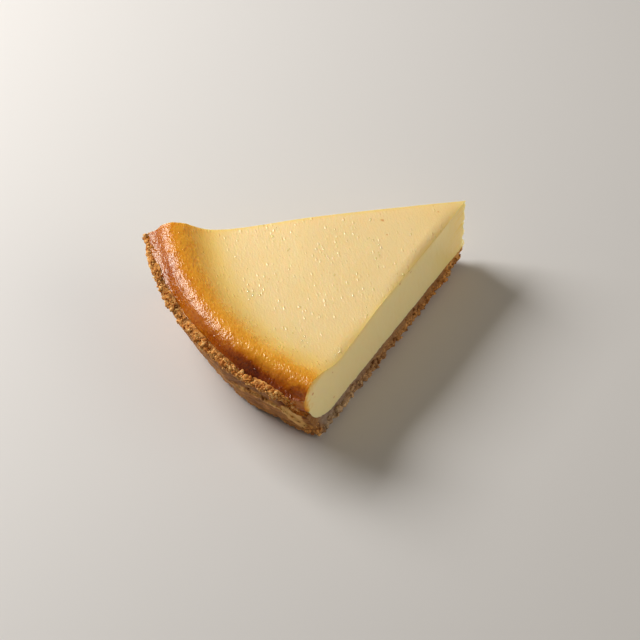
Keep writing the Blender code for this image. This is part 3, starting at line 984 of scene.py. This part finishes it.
class Finish:
    """Builds a node material: node() adds a node, whose inputs are numbers or other nodes' outputs."""

    def __init__(self, name):
        self.material = bpy.data.materials.new(name)
        self.material.use_nodes = True
        self.tree = self.material.node_tree
        self.shader = self.tree.nodes["Principled BSDF"]
        self.place = self.node("ShaderNodeTexCoord").outputs["Object"]

    def set(self, node, inputs):
        for name, value in inputs.items():
            socket = node.inputs[name]
            if isinstance(value, bpy.types.NodeSocket):
                self.tree.links.new(value, socket)
            else:
                socket.default_value = value

    def node(self, kind, inputs={}, **settings):
        node = self.tree.nodes.new(kind)
        for name, value in settings.items():
            setattr(node, name, value)
        self.set(node, inputs)
        return node

    def attribute(self, name):
        return self.node("ShaderNodeAttribute", attribute_name=name).outputs["Fac"]

    def scaled(self, lengths, turn=(0, 0, 0)):
        """Coordinates in which a texture of scale 1 has features of these lengths in millimetres."""
        scale = tuple(1 / (length * MM) for length in lengths)
        turned_place = self.node("ShaderNodeMapping", {"Vector": self.place, "Rotation": turn})
        return self.node("ShaderNodeMapping", {"Vector": turned_place.outputs[0], "Scale": scale}).outputs[0]

    def noise(self, lengths, detail=3.0, turn=(0, 0, 0), roughness=0.5):
        inputs = {"Vector": self.scaled(lengths, turn), "Scale": 1.0}
        inputs.update({"Detail": detail, "Roughness": roughness})
        return self.node("ShaderNodeTexNoise", inputs).outputs["Fac"]

    def cells(self, lengths, turn):
        return self.node("ShaderNodeTexVoronoi", {"Vector": self.scaled(lengths, turn), "Scale": 1.0})

    def math(self, operation, a, b):
        return self.node("ShaderNodeMath", {0: a, 1: b}, operation=operation).outputs[0]

    def span(self, value, low, high, start=0.0, end=1.0, kind="LINEAR"):
        inputs = {"Value": value, "From Min": low, "From Max": high, "To Min": start, "To Max": end}
        return self.node("ShaderNodeMapRange", inputs, interpolation_type=kind).outputs[0]

    def blend(self, share, a, b, kind="MIX"):
        node = self.node("ShaderNodeMix", data_type="RGBA", blend_type=kind)
        self.set(node, {0: share, 6: a, 7: b})
        return node.outputs[2]

    def ramp(self, value, stops, scale=1.0):
        node = self.node("ShaderNodeValToRGB", {"Fac": value})
        elements = node.color_ramp.elements
        while len(elements) < len(stops):
            elements.new(0.5)
        for element, (position, colour) in zip(elements, stops):
            element.position = position
            element.color = linear(*colour, scale)
        return node.outputs["Color"]

    def bump(self, height, distance, strength=1.0, normal=None):
        inputs = {"Height": height, "Distance": distance * MM, "Strength": strength}
        if normal:
            inputs["Normal"] = normal
        return self.node("ShaderNodeBump", inputs).outputs[0]

    def finish(self, inputs):
        self.set(self.shader, inputs)
        return self.material


LIGHT_SHARE = 1.12
CUSTARD_COLOURS = [
    (0.0, (234, 206, 149)),
    (0.18, (236, 200, 120)),
    (0.36, (232, 184, 88)),
    (0.5, (224, 158, 46)),
    (0.64, (206, 132, 24)),
    (0.76, (190, 112, 8)),
    (0.88, (150, 70, 0)),
    (1.0, (94, 26, 0))]
# Turn that lays the glints' long side along the wrinkles of the top
GLINT_TURN = (0, 0, math.radians(-68))


def lit(*colour):
    """A colour of the custard, a little lighter, since some light stays under its surface."""
    return linear(*colour, LIGHT_SHARE)


def custard_material():
    mat = Finish("custard")
    bake = mat.attribute("bake")
    crest = mat.attribute("crest")
    pit = mat.attribute("pit")
    cut = mat.attribute("cut_face")
    patchy = mat.noise((9, 9, 9), detail=2)
    fine = mat.noise((1.1, 1.1, 1.1), detail=4)
    unevenness = mat.span(bake, 0.1, 0.6, 0.02, 0.16)
    uneven = mat.math("MULTIPLY", mat.math("SUBTRACT", fine, 0.5), unevenness)
    level = mat.math("ADD", mat.math("ADD", bake, uneven), mat.span(patchy, 0.3, 0.7, -0.02, 0.02))
    colour = mat.ramp(level, CUSTARD_COLOURS, LIGHT_SHARE)
    inside = mat.blend(mat.span(bake, 0.05, 0.3), lit(244, 219, 161), colour)
    skinned = mat.span(mat.attribute("skin"), 0, 1, 0, 0.6)
    inside = mat.blend(skinned, inside, lit(252, 206, 104))
    edge = mat.blend(skinned, colour, lit(236, 198, 110))
    colour = mat.blend(cut, edge, inside)
    colour = mat.blend(mat.span(pit, 0.35, 1, 0, 0.5), colour, lit(226, 186, 104))
    speck = mat.span(mat.attribute("speck"), 0.3, 0.7, 0, 0.8)
    colour = mat.blend(speck, colour, lit(206, 130, 44))
    cells = mat.cells((2.5, 1.0, 1.0), turn=GLINT_TURN)
    swell = mat.span(cells.outputs["Distance"], 0, 0.5, 1, 0, "SMOOTHSTEP")
    chosen = mat.span(cells.outputs["Color"], 0.54, 0.74)
    always = mat.span(cells.outputs["Color"], 0.72, 0.74, 0.1, 1)
    outer = mat.math("MAXIMUM", mat.attribute("outer"), always)
    swell = mat.math("MULTIPLY", mat.math("MULTIPLY", swell, chosen), outer)
    swell = mat.math("MULTIPLY", swell, mat.span(cut, 0.0, 1.0, 1.0, 0.0))
    glints = mat.bump(swell, 0.155)
    ripples = mat.noise((1.6, 0.6, 0.6), detail=2.0, turn=GLINT_TURN)
    ripples = mat.math("MULTIPLY", ripples, mat.span(cut, 0.0, 1.0, 1.0, 0.3))
    pores = mat.bump(mat.noise((0.6, 0.6, 0.6), detail=3), 0.07, normal=glints)
    skin = mat.bump(ripples, 0.11, normal=pores)
    folds = mat.noise((1.3, 0.7, 0.7), detail=1.5, turn=GLINT_TURN)
    wrinkles = mat.bump(folds, 0.25, crest, skin)
    gloss = mat.math("MAXIMUM", mat.span(crest, 0.0, 1.0, 0.0, 0.75), mat.span(swell, 0.0, 0.3))
    roughness = mat.span(gloss, 0, 1, 0.36, 0.22)
    return mat.finish({
        "Base Color": colour,
        "Roughness": roughness,
        "Normal": wrinkles,
        "Specular IOR Level": 0.47,
        "Specular Tint": (0.97, 0.95, 0.84, 1.0),
        "Subsurface Weight": 0.4,
        "Subsurface Radius": (1.0, 0.6, 0.3),
        "Subsurface Scale": 0.004,
    })


CRUMB_COLOURS = [
    (0.0, (108, 60, 22)),
    (0.25, (146, 100, 58)),
    (0.5, (182, 134, 84)),
    (0.75, (220, 164, 100)),
    (1.0, (255, 222, 162))]
CRUMB_SHADER = {"Specular Tint": (1.0, 0.86, 0.74, 1.0), "Subsurface Radius": (1.0, 0.5, 0.25)}
RIDGE_COLOURS = [
    (0.0, (122, 60, 12)),
    (0.3, (176, 100, 32)),
    (0.6, (214, 142, 62)),
    (1.0, (246, 196, 122))]


def tinted(mat, colour):
    """Warms the crumb's colour where it isn't pale and greys it where it is."""
    pale = mat.attribute("pale")
    tint = mat.blend(mat.span(pale, 0, 0.5), (1, 0.84, 0.56, 1), (1, 1, 1, 1))
    tint = mat.blend(mat.span(pale, 0.5, 1), tint, (0.94, 1.25, 2.0, 1))
    return mat.blend(1.0, colour, tint, "MULTIPLY")


def crumb_material():
    """Single crumbs, each with its own toastedness."""
    mat = Finish("crumbs")
    grains = mat.noise((0.5, 0.5, 0.5), detail=3)
    level = mat.math("ADD", mat.attribute("tone"), mat.span(grains, 0.3, 0.7, -0.15, 0.15))
    toasted = mat.attribute("toasted")
    colour = tinted(mat, mat.ramp(level, CRUMB_COLOURS))
    return mat.finish({
        "Base Color": mat.blend(toasted, colour, mat.ramp(level, RIDGE_COLOURS)),
        "Roughness": 0.6,
        "Normal": mat.bump(grains, 0.15),
        "Specular IOR Level": 0.3,
        "Subsurface Weight": 0.1,
        "Subsurface Scale": 0.0012,
        **CRUMB_SHADER,
    })


def crust_material():
    mat = Finish("crust")
    crumbly = mat.attribute("crumbly")
    tone = mat.attribute("tone")
    gap = mat.attribute("gap")
    grains = mat.noise((0.8, 0.8, 0.8), detail=4, roughness=0.65)
    blotch = mat.noise((4.5, 4.5, 2.5), detail=3)
    level = mat.math("ADD", tone, mat.span(grains, 0.3, 0.7, -0.24, 0.24))
    level = mat.math("ADD", level, mat.span(blotch, 0.3, 0.7, -0.14, 0.14))
    colour = mat.ramp(level, CRUMB_COLOURS)
    pressed = mat.blend(mat.attribute("cut_side"), linear(182, 132, 84), linear(176, 138, 100))
    colour = tinted(mat, mat.blend(mat.span(crumbly, 0, 1, 0.5, 0), colour, pressed))
    colour = mat.blend(mat.attribute("toasted"), colour, mat.ramp(level, RIDGE_COLOURS))
    # The gaps between crumbs are darkened towards this brown: painted shade.
    colour = mat.blend(mat.span(gap, 0.0, 1.0, 0.0, 0.7), colour, linear(96, 50, 14))
    rough = mat.noise((0.45, 0.45, 0.45), detail=4, roughness=0.7)
    normal = mat.bump(rough, 0.3, mat.span(crumbly, 0, 1, 0.75, 1))
    return mat.finish({
        "Base Color": colour,
        "Roughness": mat.span(crumbly, 0, 1, 0.6, 0.7),
        "Normal": normal,
        "Specular IOR Level": 0.25,
        "Subsurface Weight": 0.08,
        "Subsurface Scale": 0.0015,
        **CRUMB_SHADER,
    })


# Studio: pale floor, soft window-like key light from behind left, weak fill, camera

FLOOR_SIZE = 3.0
TURN = math.radians(33.573)
ELEVATION, ROLL, DISTANCE = 0.8349, 0.0065, 0.8482
AIM = Vector((TIP_X - 59.63, TIP_Y + 2.48, 0)) * MM
LENS, SENSOR = 135, 36
# Lights: direction, elevation, distance, width, height, power and colour
KEY = (Vector((-0.443, 0.897, 0)), math.radians(38), 0.75, 0.44, 0.36, 7.0, (1.0, 0.985, 0.965))
FILL = (Vector((0.62, -0.78, 0)), math.radians(20), 1.2, 1.0, 1.0, 4.6, (1.0, 0.93, 0.82))
HORIZON_LIGHT, ZENITH_LIGHT = 0.32, 0.05


def make_floor():
    half = FLOOR_SIZE / 2
    corners = [(-half, -half, 0), (half, -half, 0), (half, half, 0), (-half, half, 0)]
    mesh = bpy.data.meshes.new("floor")
    mesh.from_pydata(corners, [], [(0, 1, 2, 3)])
    floor = bpy.data.objects.new("floor", mesh)
    bpy.context.scene.collection.objects.link(floor)
    mat = Finish("floor")
    mesh.materials.append(mat.finish({
        "Base Color": linear(214, 211, 208), "Roughness": 0.5, "Specular IOR Level": 0.3}))


def area_light(name, direction, elevation, distance, width, height, power, colour):
    data = bpy.data.lights.new(name, "AREA")
    data.shape = "RECTANGLE"
    data.size, data.size_y, data.energy, data.color = width, height, power, colour
    lamp = bpy.data.objects.new(name, data)
    bpy.context.scene.collection.objects.link(lamp)
    level = direction.normalized() * math.cos(elevation)
    away = Vector((level.x, level.y, math.sin(elevation)))
    lamp.location = away * distance
    lamp.rotation_mode = "QUATERNION"
    lamp.rotation_quaternion = (-away).to_track_quat("-Z", "Y")


def light_scene():
    area_light("key", *KEY)
    area_light("fill", *FILL)
    world = bpy.data.worlds.new("studio")
    world.use_nodes = True
    nodes, links = world.node_tree.nodes, world.node_tree.links
    height = nodes.new("ShaderNodeSeparateXYZ")
    strength = nodes.new("ShaderNodeMapRange")
    links.new(nodes.new("ShaderNodeTexCoord").outputs["Generated"], height.inputs[0])
    links.new(height.outputs["Z"], strength.inputs["Value"])
    strength.inputs["To Min"].default_value = HORIZON_LIGHT
    strength.inputs["To Max"].default_value = ZENITH_LIGHT
    background = nodes["Background"]
    background.inputs["Color"].default_value = (1.0, 0.95, 0.86, 1.0)
    links.new(strength.outputs["Result"], background.inputs["Strength"])
    bpy.context.scene.world = world
    bpy.context.scene.view_settings.view_transform = "Standard"


def add_camera():
    data = bpy.data.cameras.new("camera")
    data.lens, data.sensor_width = LENS, SENSOR
    camera = bpy.data.objects.new("camera", data)
    bpy.context.scene.collection.objects.link(camera)
    level = math.cos(ELEVATION)
    ahead = Vector((level * math.sin(TURN), level * math.cos(TURN), -math.sin(ELEVATION)))
    right = Vector((math.cos(TURN), -math.sin(TURN), 0))
    up = right.cross(ahead)
    right, up = (math.cos(ROLL) * right + math.sin(ROLL) * up, -math.sin(ROLL) * right + math.cos(ROLL) * up)
    matrix = Matrix((right, up, -ahead)).transposed().to_4x4()
    matrix.translation = AIM - ahead * DISTANCE
    camera.matrix_world = matrix
    bpy.context.scene.camera = camera


make_custard(custard_material())
crust = make_crust(crust_material())
make_crumbs(crust, crumb_material())
make_beads(bead_material())
make_floor()
light_scene()
add_camera()
